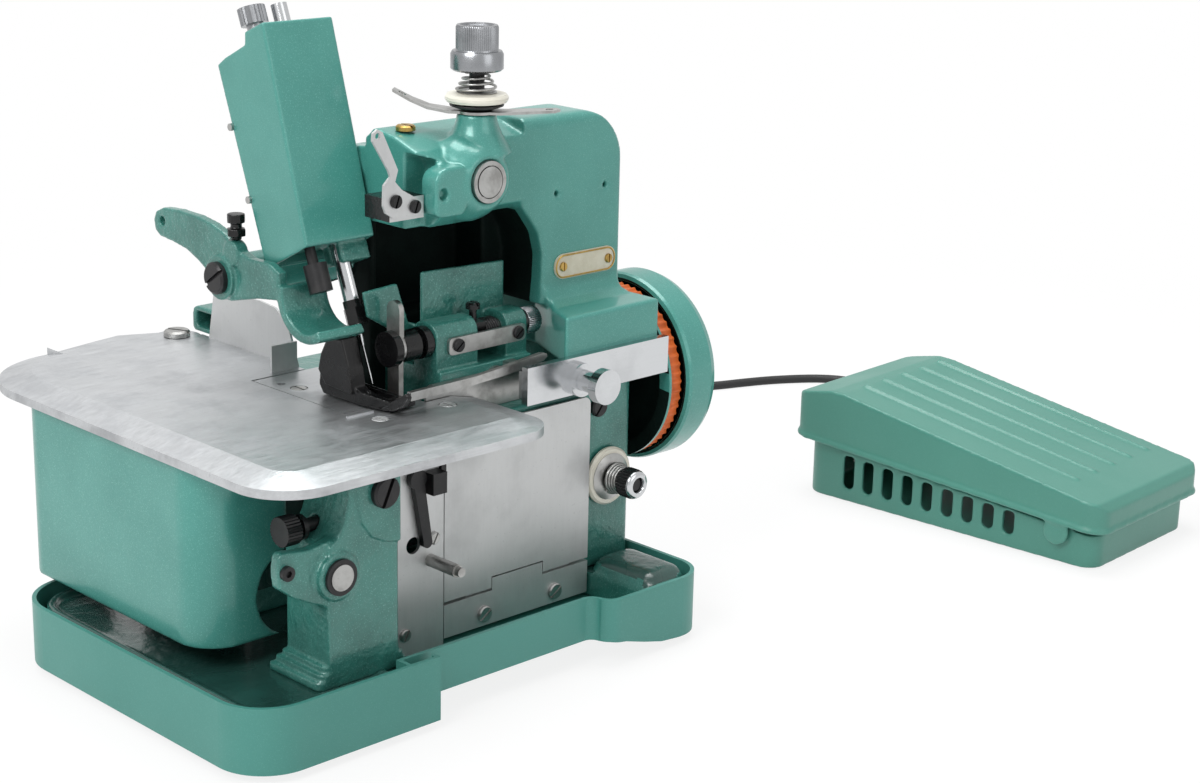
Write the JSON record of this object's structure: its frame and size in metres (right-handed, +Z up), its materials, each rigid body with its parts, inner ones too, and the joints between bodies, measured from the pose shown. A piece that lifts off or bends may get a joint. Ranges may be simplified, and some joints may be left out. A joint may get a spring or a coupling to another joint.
{
  "type": "overlock sewing machine",
  "caption": "Small metal serger with a green cast frame, aluminium cloth plate, handwheel, top and front thread tensions, and a corded foot pedal",
  "frame": {"origin": "centre of the footprint of machine and pedal, on the floor", "axes": "+X operator's right, from the machine to the pedal; +Y away from the operator; +Z up"},
  "size_m": [0.6688, 0.4108, 0.3017],
  "materials": {
    "enamel": "teal-green baked enamel with a fine sparkle",
    "enamel_rough": "teal-green enamel over rough cast metal",
    "enamel_pedal": "smooth teal-green enamel on the pedal",
    "aluminium": "brushed aluminium",
    "sheet": "satin sheet steel",
    "steel": "machined steel",
    "chrome": "polished chrome",
    "black_oxide": "black oxide steel",
    "rubber": "black rubber",
    "belt": "orange ribbed belt",
    "plastic_white": "off-white plastic",
    "brass": "brass",
    "plate_gold": "pale enamelled plate with a gilt border",
    "motor_black": "black painted motor"
  },
  "bodies": {
    "root": {"tray": "enamel", "rubber_feet": "rubber", "bed_casting": "enamel_rough", "front_column": "enamel_rough", "plate_arm": "enamel_rough", "needle_plate": "aluminium", "housing": "enamel_rough", "side_plate": "sheet", "hinge_strip": "sheet", "arm_casting": "enamel", "upper_arm": "enamel_rough", "head_cover": "enamel", "rear_bracket": "enamel_rough", "bar_bushes": "enamel_rough", "nameplate": "plate_gold", "brass_screws": "brass", "black_screws": "black_oxide", "steel_fittings": "steel", "upper_tension": "steel", "upper_discs": "plastic_white", "thread_guide": "steel", "thread_lever": "steel", "lower_tension": "steel", "lower_disc": "plastic_white", "knife_holder": "chrome", "lower_knife": "steel", "chip_guard": "enamel", "guard_strip": "steel", "motor": "motor_black", "drive_belt": "belt", "inlet_gland": "rubber", "press_screw": "black_oxide", "pedal_base": "enamel_pedal", "pedal_feet": "rubber", "pedal_gland": "rubber", "cord_tubes": "rubber", "cord_coil": "rubber"},
    "swing_plate": {"cloth_plate": "aluminium", "side_cover": "enamel", "plate_guard": "sheet"},
    "door": {"front_door": "sheet"},
    "wheel": {"handwheel": "enamel"},
    "rotor": {"motor_pulley": "steel"},
    "needle_drive": {"needle_bar": "steel", "needle": "chrome"},
    "presser": {"presser_arm": "enamel_rough", "presser_foot": "black_oxide"},
    "knife": {"upper_knife": "steel", "knife_shaft": "steel", "knife_clamp": "black_oxide", "knife_knob": "chrome"},
    "top_nut": {"top_knob": "chrome"},
    "lower_nut": {"lower_knob": "black_oxide"},
    "stitch_dial": {"stitch_knob": "black_oxide"},
    "thumb_screw": {"cover_screw": "chrome"},
    "button": {"push_button": "chrome"},
    "lever": {"black_lever": "black_oxide"},
    "looper_low": {"lower_looper": "steel"},
    "looper_high": {"upper_looper": "steel"},
    "treadle": {"pedal_treadle": "enamel_pedal"}
  },
  "joints": [
    {"name": "plate_swing", "type": "hinge", "parent": "root", "child": "swing_plate", "pos_m": [-0.17588, 0.1444, 0.125], "axis": [0, 0, -1], "range_deg": [0, 70]},
    {"name": "door_drop", "type": "hinge", "parent": "root", "child": "door", "pos_m": [-0.11027, -0.0344, 0.0364], "axis": [1, 0, 0], "range_deg": [0, 90]},
    {"name": "wheel_turn", "type": "hinge", "parent": "root", "child": "wheel", "pos_m": [-0.00528, -0.0011, 0.1153], "axis": [1, 0, 0], "continuous": true},
    {"name": "rotor_turn", "type": "hinge", "parent": "root", "child": "rotor", "pos_m": [-0.02527, 0.1329, 0.072], "axis": [1, 0, 0], "continuous": true},
    {"name": "needle_stroke", "type": "slide", "parent": "root", "child": "needle_drive", "axis": [0, 0.3746, 0.9272], "range_m": [-0.027, 0]},
    {"name": "presser_lift", "type": "hinge", "parent": "root", "child": "presser", "pos_m": [-0.20028, 0.0665, 0.1775], "axis": [-1, 0, 0], "range_deg": [0, 5.5], "stiffness_Nm_per_rad": 3, "springref_deg": -12.03},
    {"name": "knife_retract", "type": "hinge", "parent": "root", "child": "knife", "pos_m": [-0.11528, -0.0101, 0.153], "axis": [1, 0, 0], "range_deg": [0, 60]},
    {"name": "top_nut_turn", "type": "hinge", "parent": "root", "child": "top_nut", "pos_m": [-0.11878, -0.0141, 0.285], "axis": [0, 0, 1], "range_deg": [-180, 180]},
    {"name": "lower_nut_turn", "type": "hinge", "parent": "root", "child": "lower_nut", "pos_m": [-0.04927, -0.0501, 0.074], "axis": [0, 1, 0], "range_deg": [-180, 180]},
    {"name": "stitch_dial_turn", "type": "hinge", "parent": "root", "child": "stitch_dial", "pos_m": [-0.25228, -0.0471, 0.0965], "axis": [1, 0, 0], "range_deg": [-180, 180]},
    {"name": "thumb_screw_turn", "type": "hinge", "parent": "root", "child": "thumb_screw", "pos_m": [-0.18227, 0.06524, 0.29157], "axis": [0, 0.3746, 0.9272], "range_deg": [-180, 180]},
    {"name": "button_push", "type": "slide", "parent": "root", "child": "button", "axis": [0, 1, 0], "range_m": [0, 0.006], "stiffness_N_per_m": 300, "springref_m": -0.003},
    {"name": "lever_turn", "type": "hinge", "parent": "root", "child": "lever", "pos_m": [-0.17378, -0.0381, 0.1], "axis": [0, 1, 0], "range_deg": [0, 20]},
    {"name": "lower_looper_rock", "type": "hinge", "parent": "root", "child": "looper_low", "pos_m": [-0.17727, 0.0049, 0.066], "axis": [0, -1, 0], "range_deg": [0, 8]},
    {"name": "upper_looper_rock", "type": "hinge", "parent": "root", "child": "looper_high", "pos_m": [-0.13928, 0.0049, 0.066], "axis": [0, -1, 0], "range_deg": [0, 8]},
    {"name": "treadle_press", "type": "hinge", "parent": "root", "child": "treadle", "pos_m": [0.23708, -0.13487, 0.0193], "axis": [-0.9976, -0.0698, 0], "range_deg": [0, 6.5], "stiffness_Nm_per_rad": 4, "springref_deg": -20.05}
  ],
  "couplings": [
    {"joint": "rotor_turn", "follows": "wheel_turn", "ratio": 4.5556},
    {"joint": "upper_looper_rock", "follows": "lower_looper_rock", "ratio": 1}
  ]
}
